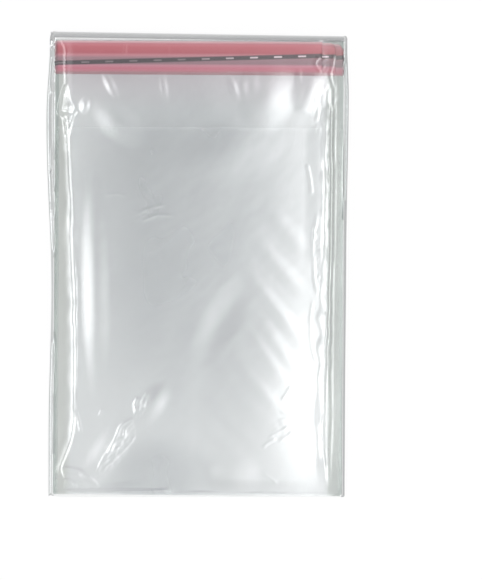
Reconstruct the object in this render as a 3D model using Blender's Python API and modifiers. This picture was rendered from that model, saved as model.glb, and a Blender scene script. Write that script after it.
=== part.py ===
"""Pack of self-seal film bags in a clear outer wrapper, lying flat on its back.

Every bag is one film folded at its bottom edge and welded up both sides, with a flap that
carries a strip of adhesive under a red release liner. The bags lie on each other, slightly
out of line, inside a larger film bag whose mouth is at the flap end.
Units are metres, +Z is up and the flaps point to +Y.
"""
import math

import bmesh
import bpy
from mathutils import Matrix

# One bag
BAG_COUNT = 12
BAG_WIDTH = 0.120
POCKET_DEPTH = 0.153
FLAP_LENGTH = 0.037
BAG_FILM = 0.00003
POCKET_GAP = 0.0001
SIDE_WELD = 0.0008
FOLD_STEPS = 6

# Adhesive strip and release liner on each flap
ADHESIVE_WIDTH = 0.0030
ADHESIVE_THICKNESS = 0.00005
ADHESIVE_END_INSET = 0.0010
ADHESIVE_FROM_LINER_TOP = 0.0068
LINER_WIDTH = 0.0133
LINER_THICKNESS = 0.00005
LINER_FROM_FLAP_END = 0.0008
LINER_SETBACK_TOP_BAG = 0.0092
LINER_SETBACK_NEXT_BAG = 0.0029
STRIP_GAP = 0.00003

# How the bags lie on each other: the turn of the whole stack, and how far each bag strays
LAYER_GAP = 0.0003
STACK_TURN = math.radians(-0.30)
FAN_SIDE = 0.0005
FAN_END = 0.0004
FAN_TURN = math.radians(0.15)
# Pairs of step and start, in radians, of the waves that the straying follows up the stack
SIDE_WAVE = (2.4, 0.6)
END_WAVE = (1.7, 2.1)
TURN_WAVE = (1.1, 0.3)

# Outer wrapper: its film, and the room it leaves round the stack
WRAPPER_FILM = 0.00005
WRAPPER_CLEARANCE = 0.0004
FOOT_MARGIN = 0.0008
MOUTH_MARGIN = 0.0036
MOUTH_DROP = 0.0021
MOUTH_SLIT = 0.0003
CORNER_CUT_WIDTH = 0.0050
CORNER_CUT_HEIGHT = 0.0009
# Pairs of place along the pack, 0 at the foot and 1 at the mouth, and side margin there
LEFT_MARGINS = ((0.0, 0.0015), (0.16, 0.0016), (0.43, 0.0007), (0.83, 0.0032), (1.0, 0.0018))
RIGHT_MARGINS = ((0.0, 0.0007), (0.20, 0.0007), (0.53, 0.0009), (0.87, 0.0016), (1.0, 0.0008))
# The bend over the stack's edge: how far in from the wrapper's edge its middle lies, as a
# share of the margin, and how high it stands there, as a share of the film's full height
BEND_PLACE = 0.40
BEND_RISE = 0.72
# The places of the wrapper's lower edge and mouth, where the stack runs from 0 to 1
FOOT_PLACE = -1.0
MOUTH_PLACE = 2.0

# Folds that stand up in the wrapper's front film
# Pairs of place along the pack and the side fold's distance in from the stack's left edge
SIDE_FOLD_INSETS = ((0.0, 0.0043), (0.06, 0.0043), (0.22, 0.0088), (0.40, 0.0095),
                    (0.80, 0.0057), (0.96, 0.0046), (1.0, 0.0038))
SIDE_FOLD_HEIGHT = 0.0011
SIDE_FOLD_RISE_WIDTH = 0.0034
SIDE_FOLD_FALL_WIDTH = 0.0011
TUCK_INSETS = ((0.0, 0.0064), (0.20, 0.0085), (1.0, 0.0092))
TUCK_HEIGHT = 0.0009
TUCK_HALF_WIDTH = 0.0034
CREASE_HEIGHT = 0.0010
CREASE_HALF_WIDTH = 0.0040
CREASE_START = (0.0173, 0.0092)
CREASE_END = (0.0442, 0.0407)
CREASE_FADE = 0.25
WAVE_HEIGHT = 0.0006
WAVE_LENGTH = 0.0140
WAVE_LEAN = math.radians(35.0)
WAVE_CENTRE = (0.082, 0.058)
WAVE_SPREAD = (0.034, 0.060)
# Columns of film between one fold line and the next, from the left edge to the right
COLUMN_STEPS = (2, 2, 1, 26, 2, 2, 2)
FILM_ROWS = 58

# Colour, roughness and opacity of each material
FINISHES = {
    "bag_film": ((0.80, 0.83, 0.83), 0.18, 0.35),
    "adhesive": ((0.16, 0.14, 0.15), 0.35, 1.0),
    "release_liner": ((0.52, 0.13, 0.17), 0.28, 1.0),
    "wrapper_film": ((0.86, 0.88, 0.88), 0.06, 0.30),
}

BAG_LENGTH = POCKET_DEPTH + FLAP_LENGTH
POCKET_THICKNESS = 2 * BAG_FILM + POCKET_GAP
STRIPS_THICKNESS = BAG_FILM + STRIP_GAP + ADHESIVE_THICKNESS + STRIP_GAP + LINER_THICKNESS
BAG_THICKNESS = max(POCKET_THICKNESS, STRIPS_THICKNESS)
BAG_STEP = BAG_THICKNESS + LAYER_GAP
STACK_BASE = WRAPPER_FILM + LAYER_GAP
STACK_TOP = STACK_BASE + (BAG_COUNT - 1) * BAG_STEP + BAG_THICKNESS
TURN_REACH = math.sin(FAN_TURN)
STACK_HALF_WIDTH = BAG_WIDTH / 2 + FAN_SIDE + TURN_REACH * BAG_LENGTH / 2
STACK_TILT_RISE = abs(math.sin(STACK_TURN)) * BAG_WIDTH / 2
STACK_HALF_LENGTH = BAG_LENGTH / 2 + FAN_END + TURN_REACH * BAG_WIDTH / 2 + STACK_TILT_RISE
FILM_LEVEL = STACK_TOP + WRAPPER_CLEARANCE + WRAPPER_FILM
FILM_OFFSET = WRAPPER_CLEARANCE + WRAPPER_FILM
FOOT_Y = -STACK_HALF_LENGTH - FOOT_MARGIN
MOUTH_Y = STACK_HALF_LENGTH + MOUTH_MARGIN


def clear_scene():
    """Empties the file that the script is run in."""
    for item in list(bpy.data.objects):
        bpy.data.objects.remove(item, do_unlink=True)


def new_collection(name):
    """Adds a collection to the scene."""
    collection = bpy.data.collections.new(name)
    bpy.context.scene.collection.children.link(collection)
    return collection


def film_material(name):
    """A glossy film, more or less see-through."""
    colour, roughness, alpha = FINISHES[name]
    material = bpy.data.materials.new(name)
    material.use_nodes = True
    shader = material.node_tree.nodes["Principled BSDF"]
    shader.inputs["Base Color"].default_value = (*colour, 1.0)
    shader.inputs["Roughness"].default_value = roughness
    shader.inputs["Metallic"].default_value = 0.0
    shader.inputs["Alpha"].default_value = alpha
    return material


def mesh_object(name, edit, collection, material=None):
    """Turns an edited mesh into an object of the collection."""
    mesh = bpy.data.meshes.new(name)
    edit.to_mesh(mesh)
    edit.free()
    item = bpy.data.objects.new(name, mesh)
    collection.objects.link(item)
    if material:
        mesh.materials.append(material)
    return item


def box_object(name, low, high, collection, material=None):
    """A cube primitive stretched between two corners."""
    centre = [(a + b) / 2 for a, b in zip(low, high)]
    size = [b - a for a, b in zip(low, high)]
    edit = bmesh.new()
    bmesh.ops.create_cube(edit, size=1.0, matrix=Matrix.LocRotScale(centre, None, size))
    return mesh_object(name, edit, collection, material)


def baked_mesh(item, name):
    """The item's mesh with its modifiers, as a mesh of its own."""
    graph = bpy.context.evaluated_depsgraph_get()
    mesh = bpy.data.meshes.new_from_object(item.evaluated_get(graph))
    mesh.name = name
    return mesh


def folded_film(collection, material):
    """The bag's film: up the back panel and flap, and folded over into the front panel.

    The middle of the film follows this line from the flap's end to the mouth, in a frame whose
    origin is the middle of the bag's underside.
    """
    foot = -BAG_LENGTH / 2
    radius = (POCKET_GAP + BAG_FILM) / 2
    fold_y = foot + radius + BAG_FILM / 2
    fold_z = BAG_FILM / 2 + radius
    line = [(BAG_LENGTH / 2, fold_z - radius)]
    for step in range(FOLD_STEPS + 1):
        turn = math.pi * step / FOLD_STEPS
        line.append((fold_y - radius * math.sin(turn), fold_z - radius * math.cos(turn)))
    line.append((foot + POCKET_DEPTH, fold_z + radius))
    edit = bmesh.new()
    left = [edit.verts.new((-BAG_WIDTH / 2, y, z)) for y, z in line]
    edges = [edit.edges.new(pair) for pair in zip(left, left[1:])]
    swept = bmesh.ops.extrude_edge_only(edit, edges=edges)["geom"]
    moved = [item for item in swept if isinstance(item, bmesh.types.BMVert)]
    bmesh.ops.translate(edit, vec=(BAG_WIDTH, 0, 0), verts=moved)
    bmesh.ops.recalc_face_normals(edit, faces=edit.faces)
    item = mesh_object("bag_film", edit, collection, material)
    wall = item.modifiers.new("film", "SOLIDIFY")
    wall.thickness = BAG_FILM
    wall.offset = 0.0
    wall.use_even_offset = True
    return item


def side_weld(side, collection):
    """The block of melted film that joins the two panels along one side."""
    foot = -BAG_LENGTH / 2
    outer = side * BAG_WIDTH / 2
    inner = side * (BAG_WIDTH / 2 - SIDE_WELD)
    radius = POCKET_THICKNESS / 2
    low = (min(inner, outer), foot + radius, BAG_FILM / 2)
    high = (max(inner, outer), foot + POCKET_DEPTH, POCKET_THICKNESS - BAG_FILM / 2)
    weld = box_object(f"weld_{'left' if side < 0 else 'right'}", low, high, collection)
    weld.hide_render = True
    weld.display_type = "WIRE"
    return weld


def bag_mesh(parts, cutters, material):
    """One bag: the folded film with both of its sides welded."""
    film = folded_film(parts, material)
    for side in (-1, 1):
        join = film.modifiers.new("weld", "BOOLEAN")
        join.operation = "UNION"
        join.solver = "EXACT"
        join.object = side_weld(side, cutters)
    mesh = baked_mesh(film, "bag")
    bpy.data.objects.remove(film, do_unlink=True)
    return mesh


def bag_place(index):
    """Where a bag lies: its shift from the stack's middle, its height and its turn."""
    side, end, turn = (
        math.sin(step * index + start) for step, start in (SIDE_WAVE, END_WAVE, TURN_WAVE)
    )
    place = (FAN_SIDE * side, FAN_END * end, STACK_BASE + index * BAG_STEP)
    return place, STACK_TURN + FAN_TURN * turn


def liner_setback(index):
    """How far short of the flap's right edge a bag's liner ends."""
    if index == BAG_COUNT - 1:
        return LINER_SETBACK_TOP_BAG
    if index == BAG_COUNT - 2:
        return LINER_SETBACK_NEXT_BAG
    return 0.0


def adhesive_strip(name, setback, collection, material):
    """The glue line along the flap, a little shorter than the liner over it."""
    liner_top = BAG_LENGTH / 2 - LINER_FROM_FLAP_END
    high_y = liner_top - ADHESIVE_FROM_LINER_TOP
    base = BAG_FILM + STRIP_GAP
    reach = BAG_WIDTH / 2 - ADHESIVE_END_INSET
    low = (-reach, high_y - ADHESIVE_WIDTH, base)
    high = (reach - setback, high_y, base + ADHESIVE_THICKNESS)
    return box_object(name, low, high, collection, material)


def release_liner(name, setback, collection, material):
    """The red strip that covers the adhesive and is peeled off to seal the bag."""
    high_y = BAG_LENGTH / 2 - LINER_FROM_FLAP_END
    base = BAG_FILM + STRIP_GAP + ADHESIVE_THICKNESS + STRIP_GAP
    low = (-BAG_WIDTH / 2, high_y - LINER_WIDTH, base)
    high = (BAG_WIDTH / 2 - setback, high_y, base + LINER_THICKNESS)
    return box_object(name, low, high, collection, material)


def build_bags(parts, cutters, root):
    """All the bags, each with its adhesive strip and liner."""
    film = film_material("bag_film")
    glue = film_material("adhesive")
    red = film_material("release_liner")
    mesh = bag_mesh(parts, cutters, film)
    for index in range(BAG_COUNT):
        number = f"{index + 1:02d}"
        place, turn = bag_place(index)
        bag = bpy.data.objects.new(f"bag_{number}", mesh)
        parts.objects.link(bag)
        setback = liner_setback(index)
        strip = adhesive_strip(f"adhesive_{number}", setback, parts, glue)
        liner = release_liner(f"liner_{number}", setback, parts, red)
        for item in (bag, strip, liner):
            item.parent = root
            item.location = place
            item.rotation_euler.z = turn


def smooth_between(stations, place):
    """A value read from (place, value) pairs, eased from one pair to the next."""
    for (start, first), (end, second) in zip(stations, stations[1:]):
        if place <= end:
            share = max(0.0, (place - start) / (end - start))
            return first + (second - first) * (1 - math.cos(math.pi * share)) / 2
    return stations[-1][1]


def along(y):
    """How far up the pack a point lies, 0 at the foot and 1 at the mouth."""
    return min(1.0, max(0.0, (y - FOOT_Y) / (MOUTH_Y - FOOT_Y)))


def stack_side(side, y):
    """The x of the turned stack's edge at a height y on the sheet."""
    return side * STACK_HALF_WIDTH - math.tan(STACK_TURN) * y


def wrapper_side(side, y):
    """The x of the wrapper's edge at y."""
    margins = RIGHT_MARGINS if side > 0 else LEFT_MARGINS
    return stack_side(side, y) + side * (FILM_OFFSET + smooth_between(margins, along(y)))


def foot_edge(x):
    """The y of the wrapper's lower edge, which is cut back at its left corner."""
    cut_end = wrapper_side(-1, FOOT_Y) + CORNER_CUT_WIDTH
    share = max(0.0, (cut_end - x) / CORNER_CUT_WIDTH)
    return FOOT_Y + CORNER_CUT_HEIGHT * share


def mouth_edge(x):
    """The y of the wrapper's mouth, which runs a little downhill to the right."""
    left = wrapper_side(-1, MOUTH_Y)
    right = wrapper_side(1, MOUTH_Y)
    return MOUTH_Y - MOUTH_DROP * (x - left) / (right - left)


def ridge(distance, half_width):
    """A smooth ridge: 1 on its line and 0 at its half width."""
    if abs(distance) >= half_width:
        return 0.0
    return (1 + math.cos(math.pi * distance / half_width)) / 2


def side_fold_line(y):
    """The x of the long fold beside the left edge, bowed in at the middle."""
    return stack_side(-1, y) + smooth_between(SIDE_FOLD_INSETS, along(y))


def tuck_line(y):
    """The x of the broad slack fold down the right side."""
    return stack_side(1, y) - smooth_between(TUCK_INSETS, along(y))


def side_fold(x, y):
    """The height of the side fold, which rises gently and falls steeply."""
    ahead = x - side_fold_line(y)
    width = SIDE_FOLD_RISE_WIDTH if ahead < 0 else SIDE_FOLD_FALL_WIDTH
    return SIDE_FOLD_HEIGHT * ridge(ahead, width)


def side_tuck(x, y):
    """The height of the broad slack fold."""
    return TUCK_HEIGHT * ridge(x - tuck_line(y), TUCK_HALF_WIDTH)


def corner_crease(x, y):
    """The crumpled fold that runs up and inward from the lower left corner."""
    start_x = stack_side(-1, FOOT_Y) + CREASE_START[0]
    start_y = FOOT_Y + CREASE_START[1]
    run_x = CREASE_END[0] - CREASE_START[0]
    run_y = CREASE_END[1] - CREASE_START[1]
    length = math.hypot(run_x, run_y)
    ahead = ((x - start_x) * run_x + (y - start_y) * run_y) / length ** 2
    aside = ((y - start_y) * run_x - (x - start_x) * run_y) / length
    fade = ridge(ahead - 0.5, 0.5 + CREASE_FADE)
    return CREASE_HEIGHT * fade * ridge(aside, CREASE_HALF_WIDTH)


def slack_waves(x, y):
    """Soft parallel waves over the lower right, which lean down to the right."""
    from_x = x - stack_side(-1, FOOT_Y) - WAVE_CENTRE[0]
    from_y = y - FOOT_Y - WAVE_CENTRE[1]
    across = from_x * math.cos(WAVE_LEAN) + from_y * math.sin(WAVE_LEAN)
    fade = math.exp(-(from_x / WAVE_SPREAD[0]) ** 2 - (from_y / WAVE_SPREAD[1]) ** 2)
    return WAVE_HEIGHT * fade * (1 + math.cos(2 * math.pi * across / WAVE_LENGTH)) / 2


def film_relief(x, y):
    """How far the wrapper's front film stands off its lowest level."""
    return max(side_fold(x, y), side_tuck(x, y), corner_crease(x, y)) + slack_waves(x, y)


def film_rows():
    """Pairs of a row's place and its share of full height, from the foot to the mouth.

    A place runs from 0 at the stack's foot to 1 at its head. It is below 0 on the bend down to
    the lower edge, and over 1 on the bend down to the mouth.
    """
    rows = [(FOOT_PLACE, 0.0), (FOOT_PLACE + BEND_PLACE, BEND_RISE)]
    rows += [(step / (FILM_ROWS - 1), 1.0) for step in range(FILM_ROWS)]
    return rows + [(MOUTH_PLACE - BEND_PLACE, BEND_RISE), (MOUTH_PLACE, 0.0)]


def row_y(place, x):
    """The y of a row of the film at x."""
    low = -STACK_HALF_LENGTH - FILM_OFFSET
    high = STACK_HALF_LENGTH + FILM_OFFSET
    if place < 0:
        return low + (low - foot_edge(x)) * place
    if place > 1:
        return high + (mouth_edge(x) - high) * (place - 1)
    return low + (high - low) * place


def film_columns(y):
    """Pairs of x and share of full height across the film at y, from edge to edge."""
    left = stack_side(-1, y) - FILM_OFFSET
    right = stack_side(1, y) + FILM_OFFSET
    fold = side_fold_line(y)
    tuck = tuck_line(y)
    lines = [left, fold - SIDE_FOLD_RISE_WIDTH, fold, fold + SIDE_FOLD_FALL_WIDTH]
    lines += [tuck - TUCK_HALF_WIDTH, tuck, tuck + TUCK_HALF_WIDTH, right]
    columns = [(wrapper_side(-1, y), 0.0)]
    columns.append((left + (columns[0][0] - left) * (1 - BEND_PLACE), BEND_RISE))
    for start, end, steps in zip(lines, lines[1:], COLUMN_STEPS):
        columns += [(start + (end - start) * step / steps, 1.0) for step in range(steps)]
    columns.append((right, 1.0))
    edge = wrapper_side(1, y)
    columns.append((right + (edge - right) * (1 - BEND_PLACE), BEND_RISE))
    return columns + [(edge, 0.0)]


def film_line(place, row_share):
    """The points of one row of the wrapper's front film."""
    points = []
    for x, column_share in film_columns(row_y(place, 0.0)):
        y = row_y(place, x)
        height = (FILM_LEVEL + film_relief(x, y)) * column_share * row_share
        if place == MOUTH_PLACE and column_share > 0:
            height = MOUTH_SLIT + 2 * WRAPPER_FILM
        points.append((x, y, height))
    return points


def build_wrapper(parts, root):
    """The outer bag: front and back film joined at both sides and the foot, open at the mouth."""
    rows = [film_line(place, share) for place, share in film_rows()]
    columns = len(rows[0])
    edit = bmesh.new()
    grid = bmesh.ops.create_grid(edit, x_segments=columns - 1, y_segments=len(rows) - 1, size=1.0)
    points = sorted(grid["verts"], key=lambda point: (round(point.co.y, 5), round(point.co.x, 5)))
    for number, point in enumerate(points):
        point.co = rows[number // columns][number % columns]
    lines = [points[start:start + columns] for start in range(0, len(points), columns)]
    mouth = [edit.verts.new((point.co.x, point.co.y, 0.0)) for point in lines[-1][1:-1]]
    right = [line[-1] for line in lines[1:]]
    left = [line[0] for line in lines[:0:-1]]
    edit.faces.new(lines[0] + right + mouth[::-1] + left)
    bmesh.ops.recalc_face_normals(edit, faces=edit.faces)
    film = film_material("wrapper_film")
    wrapper = mesh_object("wrapper", edit, parts, film)
    wall = wrapper.modifiers.new("film", "SOLIDIFY")
    wall.thickness = WRAPPER_FILM
    wall.offset = -1.0
    wrapper.parent = root
    return wrapper


def centre_on_origin(wrapper, root):
    """Moves the pack so that the middle of its outline is over the origin."""
    corners = [point.co for point in wrapper.data.vertices]
    for axis in (0, 1):
        spread = [corner[axis] for corner in corners]
        root.location[axis] = -(min(spread) + max(spread)) / 2


def main():
    clear_scene()
    parts = new_collection("bag_pack")
    cutters = new_collection("cutters")
    root = bpy.data.objects.new("pack_origin", None)
    parts.objects.link(root)
    build_bags(parts, cutters, root)
    wrapper = build_wrapper(parts, root)
    centre_on_origin(wrapper, root)


main()
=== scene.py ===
"""The looks of the pack of self-seal film bags: its films, folds, creases and red liners.

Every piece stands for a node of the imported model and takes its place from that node. Folds and
streaks are put where the photograph shows them, by pixels of the photograph, which looks
straight down at the pack. Units are metres.
"""

import math

import bmesh
import bpy
import numpy as np
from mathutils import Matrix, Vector, noise


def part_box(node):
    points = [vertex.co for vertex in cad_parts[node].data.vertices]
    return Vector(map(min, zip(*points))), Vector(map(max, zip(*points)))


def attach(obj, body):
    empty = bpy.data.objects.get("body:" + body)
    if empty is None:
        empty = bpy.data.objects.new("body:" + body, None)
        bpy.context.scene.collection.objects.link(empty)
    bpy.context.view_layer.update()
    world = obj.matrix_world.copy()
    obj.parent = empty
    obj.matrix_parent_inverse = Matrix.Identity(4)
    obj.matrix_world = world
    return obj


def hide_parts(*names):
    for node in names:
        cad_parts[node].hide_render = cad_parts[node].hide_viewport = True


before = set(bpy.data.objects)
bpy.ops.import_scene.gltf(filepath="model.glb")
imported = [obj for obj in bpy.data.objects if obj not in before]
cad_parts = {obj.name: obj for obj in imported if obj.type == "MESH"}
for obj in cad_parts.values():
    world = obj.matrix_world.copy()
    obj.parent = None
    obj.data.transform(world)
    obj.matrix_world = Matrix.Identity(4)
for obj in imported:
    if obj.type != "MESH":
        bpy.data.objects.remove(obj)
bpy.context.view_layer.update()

# The photograph: the size of a pixel on the pack, the pixel over the frame's origin, and its size
PIXEL = 0.00042
ORIGIN_PIXEL = (197.5, 264.0)
PHOTO_WIDTH = 483
PHOTO_HEIGHT = 580
# Heights and widths of folds are written in millimetres
MILLIMETRE = 0.001

# Camera: its height, and the height at which a pixel measures PIXEL
CAMERA_HEIGHT = 0.906
SCALE_HEIGHT = 0.002
SENSOR_WIDTH = 36.0
# A ray of light may pass through all the films
FILM_LAYERS = 32

# Floor. Seen directly, in a reflection or through a film, this share of it is plain white, and
# the rest is its lit surface, which keeps the shadow
FLOOR_SIZE = 8.0
FLOOR_DROP = 0.0001
FLOOR_COLOUR = (0.95, 0.95, 0.95)
FLOOR_GLOW = 0.91

# The bags' sizes, as in the part's source
BAG_COUNT = 12
BAG_WIDTH = 0.120
BAG_LENGTH = 0.190
POCKET_SHARE = 0.153 / BAG_LENGTH
LINER_WIDTH = 0.0133
LINER_FROM_FLAP_END = 0.0008
# Where the liner's lower edge lies on the bag, as a share of its length
LINER_LOW_SHARE = 1 - (LINER_FROM_FLAP_END + LINER_WIDTH) / BAG_LENGTH
BAG_NAMES = [f"bag_{number + 1:02d}" for number in range(BAG_COUNT)]
TOP_BAG = BAG_NAMES[-1]
# The top liner and the uppermost one that runs the bag's whole width
TOP_LINER = f"liner_{BAG_COUNT:02d}"
WHOLE_LINER = f"liner_{BAG_COUNT - 2:02d}"

# Wrapper
WRAPPER_COLUMNS = 232
WRAPPER_ROWS = 356
WRAPPER_SHARP_ANGLE = 70
# How far it stands off the top bag
FILM_CLEARANCE = 0.00045
# Its finishes, in the order of its material slots
FILM_SLOT, GREY_BAND_SLOT, SEAM_SLOT, ON_LINER_SLOT = range(4)
# The greyer band along the mouth, from and to a share of the length
GREY_BAND = (0.9805, 0.9960)
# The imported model's points below this height are the wrapper's outline
OUTLINE_LEVEL = 0.00002
# How far the straight sides of that outline keep from the foot and the mouth
SIDES_FROM_FOOT = 0.004
SIDES_FROM_MOUTH = 0.006
# How deep its foot and its mouth are, with their slant and the cut corner
FOOT_BAND = 0.003
MOUTH_BAND = 0.005
# The margin's outer share is a flat fin of this height, and its inner share a steep shoulder
FIN_SHARE = 0.62
FIN_HEIGHT = 0.00025
SHOULDER_POWER = 2.4
MOUTH_GAP = 0.0004
# A margin no wider than this counts as this wide
LEAST_MARGIN = 1e-5
# Folds keep this share of their height at the margin's edge. The folds and the fin come up from
# nothing over these shares of the margin, and the crumpled corner over this share of the wrapper
EDGE_RELIEF = 0.4
RELIEF_START = 1 / 5
FIN_START = 1 / 6
CORNER_START = 1 / 60
# The share of the margin that has the seams' finish
SEAM_SHARE = 0.98
# The slack crown that the wrapper and the top bag share
CROWN = 0.0013
CROWN_MIDDLE = 0.001
CROWN_HALF_WIDTH = 0.0535
CROWN_HALF_LENGTH = 0.095
# How folds waver: the length of the waver, its greatest shift and its effect on their size
WOBBLE = 0.0065
WOBBLE_REACH = 0.00035
WOBBLE_SIZE = 0.3
WOBBLE_SEED = 7.0
# The step between the points of a fold's curve
PATH_STEP = 0.0012
# The share of a streak over which each end dies away
STREAK_FADE = 0.4

# Bags
TOP_BAG_STEPS = (150, 236)
LOWER_BAG_STEPS = (40, 60)
# How far a bag's front film stands off its back, and the rounding of its welds and its foot
TOP_BAG_PUFF = 0.00019
LOWER_BAG_PUFF = 0.00040
WELD_WIDTH = 0.0012
FOOT_ROUNDING = 0.0015
BAG_SHARP_ANGLE = 60
# The top bag's slack starts this far in from its edges, and on its flap this far
SLACK_REACH = 0.006
FLAP_REACH = 0.004
# The raised lip of its pocket, which starts a little in from the sides
LIP_WIDTH = 0.0015
LIP_HEIGHT = 0.00012
LIP_REACH = 0.003
# The edge distance that a bag's texture coordinate counts as 1
UV_REACH = 0.01
# Points nearer than this are joined where the panels meet
JOIN_DISTANCE = 1e-6

# Liners and glue lines
LINER_STEPS = (160, 8)
LINER_THICKNESS = 0.00005
LINER_ROUNDING = 0.0028
GLUE_STEPS = (60, 4)
GLUE_THICKNESS = 0.00004
# The liners' wave: its height, its scales along x, y and z, and its mean as a share. It comes up
# from the liner's long edges over one part in WAVE_START of its width
WAVE_HEIGHT = 0.00004
WAVE_SCALES = (60, 90, 4000)
WAVE_MEAN = 0.6
WAVE_START = 8

# A modelled bag stands for about eight real ones, so all but the top two have a denser film
SINGLE_OPACITY = 0.07
LOOSE_OPACITY = 0.32
STACKED_OPACITY = 0.60
# The wrapper sends back less light where it lies close on the liners
WRAPPER_OPACITY = 0.21
LYING_OPACITY = 0.12
GREY_BAND_OPACITY = 0.60
SEAM_OPACITY = 0.56
# Painted shade, where the film's colour is darker in the middle and along the foot: the middle and
# the reach of each place
PAINTED_SHADE_PLACES = (((-0.004, 0.022), (0.062, 0.122)), ((-0.016, -0.089), (0.030, 0.022)))
# Where the welded sides of the bags lie over each other: the middle and the tint of each side
WELDED_SIDES = (((0.0600, -0.005), (0.55, 0.58, 0.555)), ((-0.0600, -0.005), (0.73, 0.75, 0.72)))
WELDED_REACH = (0.0078, 0.30)
WELD_COLOUR = (0.50, 0.56, 0.53)
# Painted red glow: the films round the red liners are tinted as if lit by red light from them
LINER_MIDDLE = (0.0, 0.084)
LINER_REACH = (0.20, 0.020)
PAINTED_LINER_GLOW = (0.74, 0.68, 0.72)

# The liner's colours across its width, from its lower edge
LINER_BAND = (
    (0.00, (0.36, 0.18, 0.20)),
    (0.06, (0.45, 0.17, 0.21)),
    (0.13, (0.45, 0.12, 0.17)),
    (0.23, (0.45, 0.19, 0.24)),
    (0.29, (0.19, 0.13, 0.15)),
    (0.46, (0.23, 0.15, 0.17)),
    (0.55, (0.45, 0.18, 0.21)),
    (0.63, (0.36, 0.06, 0.08)),
    (0.80, (0.43, 0.085, 0.105)),
    (0.91, (0.51, 0.17, 0.20)),
    (0.97, (0.85, 0.55, 0.58)),
    (1.00, (0.90, 0.68, 0.70)),
)
# Faint streaks along the liner
LINER_STREAK_COLOUR = (0.68, 0.20, 0.26)
LINER_STREAK_SHARE = 0.22
# The dark line over the glue, in shares of the liner's width: where it starts at the left, how far
# it climbs over the bag's width, and its strength by the distance from its middle
LINE_START = 0.29
LINE_CLIMB = 0.29
LINE_STRENGTH = ((0.05, 0.92), (0.085, 0.0))
LINE_COLOUR = (0.022, 0.014, 0.020)
# The light dashes on it: how many there are over the bag's width, how long each is as a share,
# their strength by the distance from the line's middle, and by the place along the strip
DASH_COUNT = 11.9
DASH_SHARE = 0.33
DASH_STRENGTH = ((0.012, 1.0), (0.034, 0.0))
DASH_GROWTH = ((0.45, 0.18), (0.75, 0.90))
DASH_COLOUR = (0.80, 0.66, 0.70)

# Light: the brightness of the room by the height of the place looked at, which is 0 at the horizon
# and 1 overhead
ROOM = ((0.0, 0.92), (0.40, 0.90), (0.62, 0.78), (0.80, 0.60), (0.90, 0.62), (1.0, 0.62))
# A slight blue tint of the room
ROOM_TINT = (1.00, 1.01, 1.02)
# The least height of a place looked at that still meets the ceiling
CEILING_LIMIT = 0.01
# Soft windows of the room on a ceiling at height 1: middle, half sizes and brightness
WINDOWS = (
    ((0.34, -0.25), (0.62, 0.85), 1.25),
    ((0.36, 0.04), (0.34, 0.62), 2.70),
    ((-0.45, -0.05), (0.42, 0.60), 0.65),
    ((-0.42, 0.00), (0.26, 0.45), 2.70),
    ((0.00, 1.10), (1.20, 0.80), -0.25),
    ((-0.06, 0.12), (0.24, 0.20), -0.30),
)
# Lamps: place, size and power
SOFTBOXES = (
    ((0.42, -0.30, 0.85), 0.35, 0.6),
    ((-0.55, 0.05, 0.83), 0.30, 0.6),
    ((0.00, -0.75, 0.65), 0.50, 1.2),
)

# Soft parallel streaks over the lower right: both ends in the photograph, height and half width
STREAKS = (
    ((262, 205), (316, 262), 0.10, 5.6),
    ((250, 236), (312, 302), 0.13, 5.2),
    ((240, 266), (312, 352), 0.14, 4.8),
    ((250, 306), (306, 386), 0.09, 4.4),
    ((240, 318), (292, 392), 0.10, 4.4),
    ((226, 350), (286, 418), 0.11, 4.4),
    ((204, 356), (262, 416), 0.08, 5.0),
    ((198, 392), (266, 450), 0.11, 4.2),
    ((196, 418), (250, 462), 0.08, 4.0),
    ((190, 448), (236, 482), 0.06, 4.4),
)
# Broad soft rises: the middle in the photograph, two half widths, height and turn
SWELLS = (
    ((97, 290), (52, 7), 0.42, 91),
    ((267, 98), (17, 13), 0.66, 74),
    ((86, 106), (4.6, 3.0), 0.34, 80),
    ((312, 92), (12, 9), 0.52, 60),
    ((251, 84), (8, 4.6), 0.26, 90),
    ((234, 90), (7, 2.4), 0.16, 110),
    ((111, 86), (8, 2.8), 0.24, 117),
    ((164, 88), (8, 2.4), 0.15, 98),
    ((299, 80), (5, 2.2), 0.16, 95),
    ((120, 122), (16, 9), 0.42, 140),
    ((232, 150), (26, 16), 0.32, 20),
    ((267, 430), (64, 31), 1.02, 88),
    ((233, 474), (13, 12), 0.45, 0),
    ((152, 404), (12, 6.5), 0.40, 55),
    ((108, 450), (20, 8), 0.40, 55),
    ((222, 320), (26, 9), -0.24, 60),
    ((120, 490), (22, 5), 0.30, 4),
)

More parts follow.
